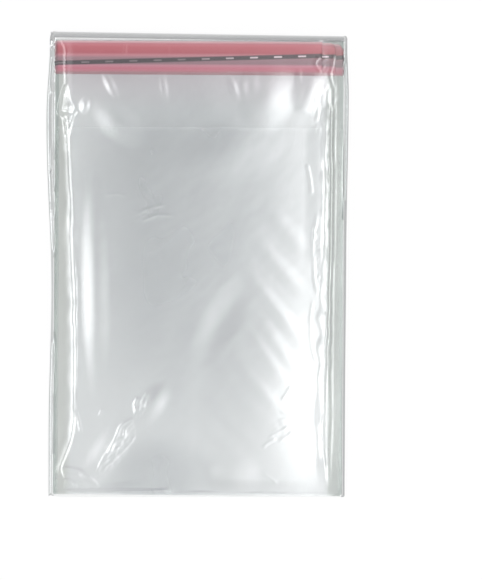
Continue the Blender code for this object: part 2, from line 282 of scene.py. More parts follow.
# Folds of the wrapper: path down the photograph, height, widths to the right and the left, power,
# and for a few their size at the start and the end of the path
WRAPPER_FOLDS = (
    # The long fold down the left side
    (((57, 38), (63, 42), (67, 50), (67, 60), (67, 75), (67, 90), (67, 99)), 0.20, 3.0, 1.2, 1),
    (((66, 118), (68, 132), (69, 150), (71, 190), (74, 235)), 0.24, 0.9, 3.2, 2),
    (((70, 200), (72, 240), (74, 290), (75, 345), (75, 385), (75, 405), (75, 425), (70, 446),
      (62, 466), (64, 478), (64, 497)), 0.29, 0.6, 4.3, 2),
    (((75, 240), (79, 290), (79, 345), (79, 385), (77, 408), (79, 426)), 0.10, 0.4, 0.6, 1),
    (((77, 408), (80, 420), (82, 432)), 0.14, 0.6, 0.8, 1),
    (((61, 467), (72, 468), (84, 472), (101, 486)), 0.12, 1.0, 1.6, 1),
    # The blob and second lobe where that fold is pinched
    (((66, 84), (63, 98), (61, 116)), 1.70, 7.4, 1.2, 1, 0.12, 1.0),
    (((78, 111), (73, 120), (70, 136)), 0.30, 0.6, 1.6, 1, 1.0, 0.6),
    (((61, 112), (65, 120), (68, 138)), 0.30, 1.5, 0.5, 1),
    # The slack down the right side
    (((329, 84), (329, 190), (328, 260), (326, 330), (324, 390), (323, 440), (327, 490)),
     0.78, 0.5, 3.4, 1.3),
    (((334, 60), (334, 200), (332, 290), (331, 370), (331, 430), (328, 494)), 0.11, 0.5, 0.5, 1),
    (((317, 212), (313, 235), (312, 255), (316, 296)), 0.10, 1.2, 0.5, 1),
    (((320, 215), (321, 240), (319, 280), (315, 297)), 0.07, 0.5, 0.9, 1),
    (((312, 298), (310, 330), (313, 355), (321, 372)), 0.07, 0.7, 0.5, 1),
    (((306, 164), (309, 178), (311, 196)), 0.14, 1.2, 0.6, 1),
    (((310, 74), (307, 94), (301, 116)), 0.16, 6.0, 4.0, 0),
    (((324, 120), (322, 160), (322, 205), (320, 270)), 0.27, 1.0, 7.5, 0),
    # The rise along the foot
    (((62, 490), (110, 490), (176, 489)), 0.28, 0.8, 3.0, 1),
    (((180, 491), (260, 492), (336, 493)), 0.16, 0.6, 2.0, 1),
    # Curls at the right end of the red band
    (((320, 59), (316, 62), (316, 67), (321, 74)), 0.16, 0.6, 0.6, 1),
    (((321, 54), (324, 57), (325, 61)), 0.14, 0.5, 0.5, 1),
    (((334, 55), (332, 66), (330, 76), (333, 92)), 0.16, 0.6, 0.6, 1),
    (((344, 37), (344, 60), (344, 80)), 0.10, 0.5, 0.5, 1),
    # The crumpled ribbon over the lower left
    (((136, 416), (123, 423), (118, 432), (112, 445), (101, 461), (97, 474)), 0.16, 1.2, 0.45, 1),
    (((137, 433), (131, 442), (119, 455), (102, 471)), 0.13, 0.45, 1.3, 1),
    (((138, 396), (135, 404), (137, 413)), 0.16, 1.8, 0.6, 1),
    (((134, 420), (126, 428), (125, 436)), 0.12, 0.7, 0.7, 1),
    (((128, 436), (116, 442), (108, 455)), 0.11, 0.7, 0.7, 1),
    (((122, 446), (110, 452), (104, 463)), 0.11, 0.7, 0.7, 1),
    (((118, 452), (106, 460)), 0.10, 0.6, 0.6, 1),
    (((63, 480), (72, 480), (78, 486)), 0.14, 0.8, 0.8, 1),
    (((103, 408), (100, 416)), 0.10, 0.7, 0.7, 1),
    # Short wrinkles over the lower right
    (((291, 385), (281, 400)), 0.10, 0.7, 0.7, 1),
    (((290, 425), (280, 430), (268, 437)), 0.10, 0.6, 0.6, 1),
    (((276, 437), (268, 442), (262, 447)), 0.10, 0.7, 0.7, 1),
    (((293, 430), (286, 436), (279, 440)), 0.09, 0.6, 0.6, 1),
    (((295, 411), (288, 413), (280, 411)), 0.09, 0.6, 0.6, 1),
    (((288, 418), (278, 420)), 0.08, 0.6, 0.6, 1),
    (((263, 473), (269, 477), (277, 482)), 0.10, 0.7, 0.7, 1),
    # Faint crinkles in the middle
    (((166, 206), (150, 208), (137, 216)), 0.05, 0.7, 0.7, 1),
    (((174, 216), (156, 216), (142, 222)), 0.05, 0.7, 0.7, 1),
    (((127, 197), (118, 194), (105, 196)), 0.04, 0.6, 0.6, 1),
    # Ticks over the red band
    (((126, 45), (125, 56)), 0.09, 0.9, 0.9, 1),
    (((168, 47), (168, 57)), 0.06, 0.9, 0.9, 1),
)
# Crumpled patches: middle, two half widths, height, turn, grain, seed and stretch
CRUMPLES = (
    ((70, 116), (6, 4), 0.30, 80, 2.6, 5.0, 1.6),
    ((119, 446), (17, 5), 0.15, 52, 1.9, 11.0, 2.0),
    ((142, 404), (7, 4), 0.13, 60, 2.2, 13.0, 1.6),
    ((284, 428), (9, 5), 0.10, 25, 2.2, 17.0, 2.4),
    ((323, 108), (13, 5.5), 0.22, 75, 2.2, 19.0, 2.6),
    ((316, 250), (18, 2.6), 0.14, 90, 1.6, 23.0, 1.6),
    ((86, 40), (12, 1.4), 0.20, 0, 2.6, 29.0, 1.8),
    ((326, 66), (5, 4), 0.14, 90, 1.8, 31.0, 1.5),
    ((152, 212), (10, 5), 0.05, 10, 2.2, 37.0, 2.0),
    ((84, 480), (12, 5), 0.12, 150, 3.0, 47.0, 2.4),
)
# The crumpled corner beside the mouth, in the same order
CORNER_CRUMPLE = ((54, 38), (4.5, 3.6), 0.55, 60, 1.5, 3.0, 1.0)
# Where that corner's film has painted glints and shade for its tiny creases: the middle and the
# reach
PAINTED_CORNER_GLINTS = ((-0.0605, 0.0945), (0.0060, 0.0050))
# The darker outer part of the right margin, where the wrapper's side seam runs, and its colour
SIDE_SEAM = ((0.0614, -0.010), (0.0048, 0.30))
SIDE_SEAM_COLOUR = (0.20, 0.22, 0.22)
# Uneven swells over the whole wrapper: height, length, seed, stretch and turn
RIPPLES = (
    (0.07, 14, 41.0, 1.6, 70),
    (0.012, 3.5, 43.0, 2.0, 40),
)


def from_photo(pixels):
    """Points in the photograph as points on the pack."""
    return (np.array(pixels, float) - ORIGIN_PIXEL) * (PIXEL, -PIXEL)


def ease(share):
    """0 to 1, with a soft start and end."""
    share = np.clip(share, 0.0, 1.0)
    return share * share * (3 - 2 * share)


def smooth_path(points):
    """A curve through the points, as a close row of points."""
    if len(points) < 3:
        return points
    padded = np.vstack([2 * points[0] - points[1], points, 2 * points[-1] - points[-2]])
    curve = []
    for before, start, end, after in zip(padded, padded[1:], padded[2:], padded[3:]):
        pieces = max(1, round(float(np.hypot(*(end - start))) / PATH_STEP))
        for t in np.arange(pieces) / pieces:
            curve.append(0.5 * (2 * start + (end - before) * t
                                + (2 * before - 5 * start + 4 * end - after) * t ** 2
                                + (3 * start - before - 3 * end + after) * t ** 3))
    return np.array(curve + [points[-1]])


def measure_from_path(x, y, path):
    """Signed distance from a path, above 0 to its left, and the place along it from 0 to 1."""
    steps = np.diff(path, axis=0)
    lengths = np.hypot(steps[:, 0], steps[:, 1])
    starts = np.concatenate([[0.0], np.cumsum(lengths)])
    nearest = np.full(x.shape, np.inf)
    signed = np.zeros(x.shape)
    place = np.zeros(x.shape)
    for (at_x, at_y), (step_x, step_y), length, start in zip(path, steps, lengths, starts):
        share = np.clip(((x - at_x) * step_x + (y - at_y) * step_y) / length ** 2, 0, 1)
        off_x = x - at_x - share * step_x
        off_y = y - at_y - share * step_y
        distance = np.hypot(off_x, off_y)
        nearer = distance < nearest
        nearest[nearer] = distance[nearer]
        side = np.copysign(distance, step_x * off_y - step_y * off_x)
        signed[nearer] = side[nearer]
        place[nearer] = ((start + share * length) / starts[-1])[nearer]
    return signed, place


class Relief:
    """Heights added to a sheet seen from above, at the places x and y of its points."""

    def __init__(self, x, y):
        self.x = x
        self.y = y
        self.z = np.zeros(x.shape)

    def near(self, path, reach):
        """Which points lie in the box round a path."""
        low = path.min(axis=0) - reach
        high = path.max(axis=0) + reach
        inside = (self.x > low[0]) & (self.x < high[0])
        return inside & (self.y > low[1]) & (self.y < high[1])

    def fold(self, pixels, height, east, west, power=1.0, fade=0.12, growth=(1.0, 1.0)):
        """A fold along a path that runs down the photograph.

        east and west are its widths to the right and the left, in millimetres like its height.
        A power of 1 gives straight flanks, 2 gives flanks that steepen to the crest, and 0 is
        for a soft round ridge. fade is the share of the path over which each end dies away, and
        growth gives the fold's size at the start and the end of the path.
        """
        path = smooth_path(from_photo(pixels))
        widths = np.array([east, west]) * MILLIMETRE
        part = self.near(path, widths.max())
        if not part.any():
            return
        x, y = self.x[part], self.y[part]
        signed, place = measure_from_path(x, y, path)
        size = growth[0] + (growth[1] - growth[0]) * place
        if power:
            spots = zip(x / WOBBLE, y / WOBBLE)
            unevenness = np.array([noise.noise((a, b, WOBBLE_SEED)) for a, b in spots])
            signed = signed + WOBBLE_REACH * unevenness
            size = size * (1 + WOBBLE_SIZE * unevenness)
        rise = 1 - np.abs(signed) / (np.where(signed > 0, widths[0], widths[1]) * size)
        rise = np.clip(rise, 0, 1)
        profile = rise ** power if power else ease(rise)
        ends = ease(np.minimum(place, 1 - place) / fade) if fade else 1.0
        self.z[part] += height * MILLIMETRE * profile * ends * size

    def turned(self, turn, centre=(0.0, 0.0)):
        """The points' places along and across a direction, measured from a centre."""
        cosine, sine = math.cos(math.radians(turn)), math.sin(math.radians(turn))
        from_x = self.x - centre[0]
        from_y = self.y - centre[1]
        return from_x * cosine + from_y * sine, from_y * cosine - from_x * sine

    def bump(self, pixel, size, height, turn):
        """A soft round rise; size holds its two half widths in millimetres."""
        along, across = self.turned(turn, from_photo(pixel))
        out = np.hypot(along / (size[0] * MILLIMETRE), across / (size[1] * MILLIMETRE))
        self.z += height * MILLIMETRE * ease(1 - out)

    def crumple(self, pixel, size, height, turn, grain, seed, stretch):
        """Creased facets in a round patch, at full height over its inner half.

        grain is their size in millimetres, and seed picks their pattern.
        """
        along, across = self.turned(turn, from_photo(pixel))
        inside = np.hypot(along / (size[0] * MILLIMETRE), across / (size[1] * MILLIMETRE))
        for index in np.nonzero(inside < 1)[0]:
            spot = Vector((along[index] / stretch, across[index], 0)) / (grain * MILLIMETRE)
            near = noise.voronoi(spot + Vector((seed, 2 * seed, 0.5)))[0]
            facet = min(1.0, near[1] - near[0])
            self.z[index] += height * MILLIMETRE * facet * float(ease((1 - inside[index]) * 2))

    def ripple(self, height, length, seed, stretch, turn):
        """A faint uneven swell over the whole sheet."""
        along, across = self.turned(turn)
        spots = zip(along / (length * MILLIMETRE * stretch), across / (length * MILLIMETRE))
        self.z += [height * MILLIMETRE * noise.noise((a, b, seed)) for a, b in spots]


def node_points(node):
    """The points of a node's mesh, which is in the row frame."""
    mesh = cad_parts[node].data
    flat = np.empty(len(mesh.vertices) * 3)
    mesh.vertices.foreach_get("co", flat)
    return flat.reshape(-1, 3)


def corners(node):
    """The lower left, lower right, upper right and upper left corners of a flat node."""
    flat = node_points(node)[:, :2]
    ways = ((-1, -1), (1, -1), (1, 1), (-1, 1))
    return [flat[np.argmax(flat @ np.array(way))] for way in ways]


def spot_on(node_corners, across, along):
    """Points between a node's corners; across and along run from 0 to 1 from the lower left."""
    low_left, low_right, high_right, high_left = (corner[:, None] for corner in node_corners)
    low = low_left * (1 - across) + low_right * across
    high = high_left * (1 - across) + high_right * across
    return low * (1 - along) + high * along


BAG_CORNERS = {name: corners(name) for name in BAG_NAMES}
# The edges of the stack: the two corners of a bag that each runs between, the axis on which it is
# measured, and which bag's edge counts
STACK_EDGES = {
    "left": (0, 3, 0, np.min),
    "right": (1, 2, 0, np.max),
    "foot": (0, 1, 1, np.min),
    "head": (3, 2, 1, np.max),
}


def stack_edge(edge, along):
    """Where an edge of the stack, the outermost bag's, lies at places along it."""
    first, second, axis, outermost = STACK_EDGES[edge]
    lines = []
    for bag in BAG_CORNERS.values():
        start, end = bag[first], bag[second]
        share = (along - start[1 - axis]) / (end[1 - axis] - start[1 - axis])
        lines.append(start[axis] + (end[axis] - start[axis]) * share)
    return outermost(lines, axis=0)


def wrapper_outline():
    """The wrapper's outline: its left and right sides in the order of y, its ends in that of x."""
    points = node_points("wrapper")
    edge = points[points[:, 2] < OUTLINE_LEVEL]
    x, y = edge[:, 0], edge[:, 1]
    low, high = y.min(), y.max()
    beside = (y > low + SIDES_FROM_FOOT) & (y < high - SIDES_FROM_MOUTH)
    parts = (
        (beside & (x < 0), 1),
        (beside & (x > 0), 1),
        (y < low + FOOT_BAND, 0),
        (y > high - MOUTH_BAND, 0),
    )
    return [edge[part][np.argsort(edge[part][:, axis])] for part, axis in parts]


def bag_slack(relief):
    """The soft unevenness that the top bag and the wrapper over it share."""
    across = np.clip(np.abs(relief.x - CROWN_MIDDLE) / CROWN_HALF_WIDTH, 0, 1)
    along = np.clip(np.abs(relief.y) / CROWN_HALF_LENGTH, 0, 1)
    relief.z += CROWN * (1 - across ** 2) * (1 - along ** 4)
    for start, end, height, width in STREAKS:
        relief.fold((start, end), height, width, width, power=0, fade=STREAK_FADE)
    for pixel, size, height, turn in SWELLS:
        relief.bump(pixel, size, height, turn)


def edge_rise(share):
    """The film's height over its margin: a flat fin at the edge, then up over the shoulder."""
    climb = np.clip((share - FIN_SHARE) / (1 - FIN_SHARE), 0, 1)
    return 1 - (1 - climb) ** SHOULDER_POWER


def skin_object(name, points, faces, uv=None):
    """A smooth-shaded mesh object from points and faces."""
    mesh = bpy.data.meshes.new(name)
    mesh.from_pydata(points.tolist(), [], faces)
    mesh.update()
    mesh.shade_smooth()
    item = bpy.data.objects.new(name, mesh)
    bpy.context.scene.collection.objects.link(item)
    if uv is not None:
        layer = mesh.uv_layers.new(name="UVMap")
        corner_points = np.empty(len(mesh.loops), dtype=int)
        mesh.loops.foreach_get("vertex_index", corner_points)
        layer.data.foreach_set("uv", uv[corner_points].ravel())
    return item


def grid_faces(columns, rows, start=0):
    """The quads of a grid whose points run row by row."""
    index = start + np.arange(columns * rows).reshape(rows, columns)
    sides = (index[:-1, :-1], index[:-1, 1:], index[1:, 1:], index[1:, :-1])
    return np.stack(sides, axis=-1).reshape(-1, 4).tolist()


def on_liners(x, y):
    """Which places lie over the red liners, up to the right end of the whole one."""
    top, whole = corners(TOP_LINER), corners(WHOLE_LINER)
    low = np.interp(x, *zip(top[0], top[1], whole[1]))
    high = np.interp(x, *zip(top[3], top[2], whole[2]))
    return (y > low) & (y < high) & (x > top[0][0]) & (x < whole[1][0])


def wrapper_relief(x, y):
    """The heights of the wrapper's slack, folds, crumples and swells."""
    relief = Relief(x, y)
    bag_slack(relief)
    for path, height, east, west, power, *growth in WRAPPER_FOLDS:
        relief.fold(path, height, east, west, power, growth=growth or (1.0, 1.0))
    for crumple in CRUMPLES:
        relief.crumple(*crumple)
    for ripple in RIPPLES:
        relief.ripple(*ripple)
    return relief.z


def wrapper_piece():
    """The outer bag: the creased front film and the flat back film, open at the mouth."""
    left, right, foot, mouth = wrapper_outline()
    across, along = np.meshgrid(
        np.linspace(0, 1, WRAPPER_COLUMNS), np.linspace(0, 1, WRAPPER_ROWS)
    )
    across, along = across.ravel(), along.ravel()
    low, high = foot[:, 1].min(), mouth[:, 1].max()
    rough_y = low + (high - low) * along
    x_left = np.interp(rough_y, left[:, 1], left[:, 0])
    x_right = np.interp(rough_y, right[:, 1], right[:, 0])
    x = x_left + (x_right - x_left) * across
    y_low = np.interp(x, foot[:, 0], foot[:, 1])
    y_high = np.interp(x, mouth[:, 0], mouth[:, 1])
    y = y_low + (y_high - y_low) * along

    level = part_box(TOP_BAG)[1].z + FILM_CLEARANCE
    shares = (
        (x - x_left) / np.maximum(stack_edge("left", y) - x_left, LEAST_MARGIN),
        (x_right - x) / np.maximum(x_right - stack_edge("right", y), LEAST_MARGIN),
        (y - y_low) / np.maximum(stack_edge("foot", x) - y_low, LEAST_MARGIN),
    )
    mouth_share = (y_high - y) / np.maximum(y_high - stack_edge("head", x), LEAST_MARGIN)
    rise = np.prod([edge_rise(share) for share in shares], axis=0)
    rise *= 1 - (1 - np.clip(mouth_share, 0, 1)) ** SHOULDER_POWER
    inside = np.clip(np.min([*shares, mouth_share], axis=0), 0, 1)
    kept = EDGE_RELIEF + (1 - EDGE_RELIEF) * inside
    z = level * rise + wrapper_relief(x, y) * kept * ease(inside / RELIEF_START)
    z += FIN_HEIGHT * ease(inside / FIN_START)
    corner = Relief(x, y)
    corner.crumple(*CORNER_CRUMPLE)
    from_edge = np.min([across, 1 - across, along, 1 - along], axis=0)
    z += corner.z * ease(from_edge / CORNER_START)
    open_mouth = (along == 1) & (across > 0) & (across < 1)
    z[open_mouth] = MOUTH_GAP

    points = np.stack([x, y, z], axis=-1)
    back_mouth = points[open_mouth].copy()
    back_mouth[:, 2] = 0
    shape = (WRAPPER_ROWS, WRAPPER_COLUMNS)
    index = np.arange(WRAPPER_COLUMNS * WRAPPER_ROWS).reshape(shape)
    mouth_index = len(points) + np.arange(len(back_mouth))
    outline = np.concatenate([index[0, :], index[1:, -1], mouth_index[::-1], index[:0:-1, 0]])
    faces = grid_faces(WRAPPER_COLUMNS, WRAPPER_ROWS)
    faces.append(outline[::-1].tolist())
    wrapper = skin_object("wrapper_film", np.vstack([points, back_mouth]), faces)
    row_along = along.reshape(shape)[:-1, 0]
    beside = np.minimum(shares[0], shares[1]).reshape(shape) < SEAM_SHARE
    slots = np.where(beside[:-1, :-1] | beside[1:, 1:], SEAM_SLOT, FILM_SLOT)
    slots[(row_along > GREY_BAND[0]) & (row_along < GREY_BAND[1])] = GREY_BAND_SLOT
    slots[on_liners(x, y).reshape(shape)[:-1, :-1]] = ON_LINER_SLOT
    wrapper.data.polygons.foreach_set("material_index", np.append(slots.ravel(), FILM_SLOT))
    wrapper.data.set_sharp_from_angle(angle=math.radians(WRAPPER_SHARP_ANGLE))
    return wrapper


def bag_piece(name):
    """A bag: the back panel, which runs on into the flap, and the front, welded at the sides."""
    top = name == TOP_BAG
    columns, rows = TOP_BAG_STEPS if top else LOWER_BAG_STEPS
    low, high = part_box(name)
    across, along = np.meshgrid(np.linspace(0, 1, columns), np.linspace(0, 1, rows))
    across, along = across.ravel(), along.ravel()
    place = spot_on(BAG_CORNERS[name], across, along).T
    back = np.column_stack([place, np.full(len(place), low.z)])

    front_rows = round(rows * POCKET_SHARE)
    across_front, along_front = np.meshgrid(
        np.linspace(0, 1, columns), np.linspace(0, POCKET_SHARE, front_rows)
    )
    across_front, along_front = across_front.ravel(), along_front.ravel()
    place = spot_on(BAG_CORNERS[name], across_front, along_front).T
    width = high.x - low.x
    length = high.y - low.y
    side_front = np.minimum(across_front, 1 - across_front) * width
    puff = TOP_BAG_PUFF if top else LOWER_BAG_PUFF
    from_foot = along_front * length
    rise = ease(side_front / WELD_WIDTH) * np.sqrt(np.clip(from_foot / FOOT_ROUNDING, 0, 1))
    z = low.z + puff * rise
    if top:
        relief = Relief(place[:, 0], place[:, 1])
        bag_slack(relief)
        z += relief.z * ease(side_front / SLACK_REACH) * ease(from_foot / SLACK_REACH)
        lip = ease(1 - (POCKET_SHARE - along_front) * length / LIP_WIDTH)
        z += LIP_HEIGHT * lip * ease(side_front / LIP_REACH)
        flap = Relief(back[:, 0], back[:, 1])
        bag_slack(flap)
        side = np.minimum(across, 1 - across) * width
        past_mouth = ease((along - POCKET_SHARE) * length / FLAP_REACH)
        before_liner = ease((LINER_LOW_SHARE - along) * length / FLAP_REACH)
        back[:, 2] += flap.z * past_mouth * before_liner * ease(side / FLAP_REACH)
    front = np.column_stack([place, z])
    points = np.vstack([back, front])
    faces = [face[::-1] for face in grid_faces(columns, rows)]
    faces += grid_faces(columns, front_rows, start=len(back))
    from_edge = np.concatenate([np.minimum(across, 1 - across) * width, side_front])
    uv = np.column_stack([from_edge / UV_REACH, np.concatenate([along, along_front])])
    bag = skin_object(name.replace("bag", "bag_film"), points, faces, uv)
    front_faces = np.arange(len(faces)) >= (columns - 1) * (rows - 1)
    bag.data.polygons.foreach_set("material_index", front_faces.astype(int))
    weld_edges(bag)
    return bag


def weld_edges(item):
    """Joins the panels where their edges meet."""
    edit = bmesh.new()
    edit.from_mesh(item.data)
    bmesh.ops.remove_doubles(edit, verts=edit.verts, dist=JOIN_DISTANCE)
    edit.to_mesh(item.data)
    edit.free()
    item.data.shade_smooth()
    item.data.set_sharp_from_angle(angle=math.radians(BAG_SHARP_ANGLE))


def strip_piece(node, name, steps, thickness, wave_height=0.0, rounding=0.0):
    """A thin closed strip along the flap, with a slight wave and a rounded upper right corner."""
    low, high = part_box(node)
    node_corners = corners(node)
    columns, rows = steps
    across, along = np.meshgrid(np.linspace(0, 1, columns), np.linspace(0, 1, rows))
    across, along = across.ravel(), along.ravel()
    if rounding:
        past = np.clip((across - 1) * (high.x - low.x) / rounding + 1, 0, 1)
        along = along * (1 - (1 - np.sqrt(1 - past ** 2)) * rounding / (high.y - low.y))
    place = spot_on(node_corners, across, along).T
    spots = np.column_stack([place, np.full(len(place), low.z)]) * WAVE_SCALES
    wave = np.array([noise.noise(spot) for spot in spots])
    from_edge = np.clip(np.minimum(along, 1 - along) * WAVE_START, 0, 1)
    lift = wave_height * (wave + WAVE_MEAN) * from_edge
    top = np.column_stack([place, low.z + thickness + lift])
    bottom = np.column_stack([place, low.z + lift])
    count = len(top)
    faces = grid_faces(columns, rows) + [face[::-1] for face in grid_faces(columns, rows, count)]
    index = np.arange(count).reshape(rows, columns)
    rim = np.concatenate([index[0, :-1], index[:-1, -1], index[-1, :0:-1], index[:0:-1, 0]])
    for first, second in zip(rim, np.roll(rim, -1)):
        faces.append([int(first) + count, int(second) + count, int(second), int(first)])
    uv = np.column_stack([across * (high.x - low.x) / BAG_WIDTH, along])
    return skin_object(name, np.vstack([top, bottom]), faces, np.vstack([uv, uv]))


class Nodes:
    """Short calls for building the node tree of a material or a world."""

    def __init__(self, owner):
        owner.use_nodes = True
        self.owner = owner
        self.tree = owner.node_tree
        self.shader = self.tree.nodes.get("Principled BSDF")

    def add(self, kind, **settings):
        """Adds a node, setting its properties and, by name, its inputs."""
        node = self.tree.nodes.new(kind)
        for key, value in settings.items():
            if hasattr(node, key):
                setattr(node, key, value)
            else:
                node.inputs[key.replace("_", " ")].default_value = value
        return node

    def link(self, output, target):
        """Joins an output to an input."""
        self.tree.links.new(output, target)

    def fill(self, sockets, values):
        """Gives inputs their values: an output is joined, and anything but None is set."""
        for socket, value in zip(sockets, values):
            if isinstance(value, bpy.types.NodeSocket):
                self.link(value, socket)
            elif value is not None:
                socket.default_value = value

    def math(self, operation, first, second=None):
        """A Math node of one or two numbers or outputs."""
        node = self.add("ShaderNodeMath", operation=operation)
        self.fill(node.inputs, (first, second))
        return node.outputs[0]

    def vector(self, operation, first, second=None):
        """A Vector Math node of one or two vectors or outputs."""
        node = self.add("ShaderNodeVectorMath", operation=operation)
        self.fill(node.inputs, (first, second))
        return node.outputs["Value" if operation == "LENGTH" else "Vector"]

    def uv(self):
        """The two parts of the texture coordinate."""
        split = self.add("ShaderNodeSeparateXYZ")
        self.link(self.add("ShaderNodeTexCoord").outputs["UV"], split.inputs[0])
        return split.outputs["X"], split.outputs["Y"]

    def place(self, scale, location=(0, 0, 0)):
        """The place in the frame's own metres, scaled and then moved."""
        mapping = self.add("ShaderNodeMapping", Scale=scale, Location=location)
        self.link(self.add("ShaderNodeTexCoord").outputs["Object"], mapping.inputs["Vector"])
        return mapping.outputs[0]

    def noise(self, scale, detail, stretch=(1, 1, 1)):
        """Noise over the frame; scale counts its grains in a metre."""
        texture = self.add("ShaderNodeTexNoise", Scale=scale, Detail=detail)
        self.link(self.place(stretch), texture.inputs["Vector"])
        return texture.outputs["Fac"]

    def oval(self, middle, reach):
        """1 at a place over the frame, falling to 0 at an oval round it."""
        scale = (1 / reach[0], 1 / reach[1], 0)
        location = (-middle[0] / reach[0], -middle[1] / reach[1], 0)
        gradient = self.add("ShaderNodeTexGradient", gradient_type="SPHERICAL")
        self.link(self.place(scale, location), gradient.inputs[0])
        return gradient.outputs["Fac"]

    def ramp(self, value, stops, interpolation="LINEAR"):
        """Colours by value; stops are pairs of place and colour."""
        node = self.add("ShaderNodeValToRGB")
        node.color_ramp.interpolation = interpolation
        for place, _ in stops[2:]:
            node.color_ramp.elements.new(place)
        for element, (place, colour) in zip(node.color_ramp.elements, stops):
            element.position = place
            element.color = (*colour, 1)
        self.link(value, node.inputs["Fac"])
        return node.outputs["Color"]

    def levels(self, value, stops, interpolation="LINEAR"):
        """Greys by value; stops are pairs of place and level."""
        return self.ramp(value, [(place, (level,) * 3) for place, level in stops], interpolation)

    def mix(self, share, first, second):
        """A colour between two, which may be outputs or colours."""
        node = self.add("ShaderNodeMix", data_type="RGBA")
        ends = [(*end, 1) if isinstance(end, tuple) else end for end in (first, second)]
        self.fill((node.inputs[0], node.inputs[6], node.inputs[7]), (share, *ends))
        return node.outputs[2]

    def bump(self, height, distance):
        """Bends the shading by a height, which is at most distance metres."""
        node = self.add("ShaderNodeBump", Distance=distance, Strength=1.0)
        self.link(height, node.inputs["Height"])
        self.link(node.outputs[0], self.shader.inputs["Normal"])

    def finish(self, **values):
        """Sets the shader's inputs, or joins outputs to them, and gives the material."""
        self.fill([self.shader.inputs[key.replace("_", " ")] for key in values], values.values())
        return self.owner


def bag_film_material(name, opacity):
    """Hazy pearly film: the many layers below it send back a blurred reflection.

    Its colour is darkened in places as painted shade, and tinted round the liners as a painted red
    glow.
    """
    nodes = Nodes(bpy.data.materials.new(name))
    cloud = nodes.noise(55, 1, (1, 0.6, 1))
    colour = nodes.mix(cloud, (0.86, 0.88, 0.885), (0.91, 0.925, 0.93))
    # Painted shade: the film's colour is darker in the middle and along the foot
    painted_shade_colour = nodes.mix(cloud, (0.65, 0.675, 0.69), (0.74, 0.76, 0.77))
    for middle, reach in PAINTED_SHADE_PLACES:
        share = nodes.levels(nodes.oval(middle, reach), ((0.0, 0.0), (0.7, 1.0)), "EASE")
        colour = nodes.mix(share, colour, painted_shade_colour)
    # Painted red glow round the liners
    colour = nodes.mix(nodes.oval(LINER_MIDDLE, LINER_REACH), colour, PAINTED_LINER_GLOW)
    for middle, tint in WELDED_SIDES:
        share = nodes.levels(nodes.oval(middle, WELDED_REACH), ((0.05, 0.0), (0.4, 1.0)))
        colour = nodes.mix(share, colour, tint)
    from_edge, _ = nodes.uv()
    in_weld = nodes.math("LESS_THAN", from_edge, WELD_WIDTH / UV_REACH)
    colour = nodes.mix(in_weld, colour, WELD_COLOUR)
    haze = nodes.levels(nodes.noise(90, 2), ((0.3, 0.32), (0.7, 0.40)))
    nodes.bump(nodes.noise(1400, 2), 0.000006)
    return nodes.finish(Base_Color=colour, Roughness=haze, Metallic=0.85, Alpha=opacity)


def wrapper_film_material(name, opacity):
    """Clear stiff film with a sharp shine."""
    nodes = Nodes(bpy.data.materials.new(name))
    colour = nodes.mix(nodes.noise(70, 3, (1, 0.5, 1)), (0.84, 0.86, 0.86), (0.90, 0.92, 0.92))
    shine = nodes.levels(nodes.noise(160, 3), ((0.3, 0.09), (0.75, 0.15)))
    nodes.bump(nodes.noise(900, 3, (1, 0.5, 1)), 0.00001)
    return nodes.finish(Base_Color=colour, Roughness=shine, Metallic=1.0, Alpha=opacity)


def grey_band_material():
    """A greyer, more opaque band of film along the mouth."""
    nodes = Nodes(bpy.data.materials.new("wrapper_grey_band_finish"))
    colour = nodes.mix(nodes.noise(50, 3, (1, 6, 1)), (0.22, 0.23, 0.235), (0.34, 0.35, 0.355))
    return nodes.finish(Base_Color=colour, Metallic=1.0, Roughness=0.2, Alpha=GREY_BAND_OPACITY)


def seam_material():
    """The margins of the wrapper outside the bags, with its side seams, and painted glints and
    shade over the crumpled corner.
    """
    nodes = Nodes(bpy.data.materials.new("wrapper_seam_finish"))
    colour = nodes.mix(nodes.noise(300, 3, (3, 0.2, 1)), (0.32, 0.34, 0.34), (0.54, 0.56, 0.56))
    # Painted glints and shade for the crumpled corner's tiny creases
    painted_crease_glints = nodes.levels(nodes.noise(900, 1, (1, 0.5, 1)), ((0.44, 0.10), (0.56, 1.0)))
    share = nodes.levels(nodes.oval(*PAINTED_CORNER_GLINTS), ((0.0, 0.0), (0.4, 1.0)))
    colour = nodes.mix(share, colour, painted_crease_glints)
    share = nodes.levels(nodes.oval(*SIDE_SEAM), ((0.0, 0.0), (0.5, 1.0)))
    colour = nodes.mix(share, colour, SIDE_SEAM_COLOUR)
    return nodes.finish(Base_Color=colour, Metallic=1.0, Roughness=0.18, Alpha=SEAM_OPACITY)


def liner_material():
    """Red film strip with the dark glue seen through it as a slanting line with light dashes."""
    nodes = Nodes(bpy.data.materials.new("liner_finish"))
    along, across = nodes.uv()
    streaky = nodes.math("MULTIPLY", nodes.noise(60, 3, (0.25, 4, 1)), LINER_STREAK_SHARE)
    band = nodes.mix(streaky, nodes.ramp(across, LINER_BAND), LINER_STREAK_COLOUR)
    slant = nodes.math("SUBTRACT", across, nodes.math("MULTIPLY", along, LINE_CLIMB))
    off_line = nodes.math("ABSOLUTE", nodes.math("SUBTRACT", slant, LINE_START))
    band = nodes.mix(nodes.levels(off_line, LINE_STRENGTH), band, LINE_COLOUR)
    turns = nodes.math("FRACT", nodes.math("MULTIPLY", along, DASH_COUNT))
    dash = nodes.math("LESS_THAN", turns, DASH_SHARE)
    dash = nodes.math("MULTIPLY", dash, nodes.levels(off_line, DASH_STRENGTH))
    dash = nodes.math("MULTIPLY", dash, nodes.levels(along, DASH_GROWTH))
    band = nodes.mix(dash, band, DASH_COLOUR)
    nodes.bump(nodes.noise(400, 3, (0.2, 2, 1)), 0.00002)
    return nodes.finish(Base_Color=band, Roughness=0.38)


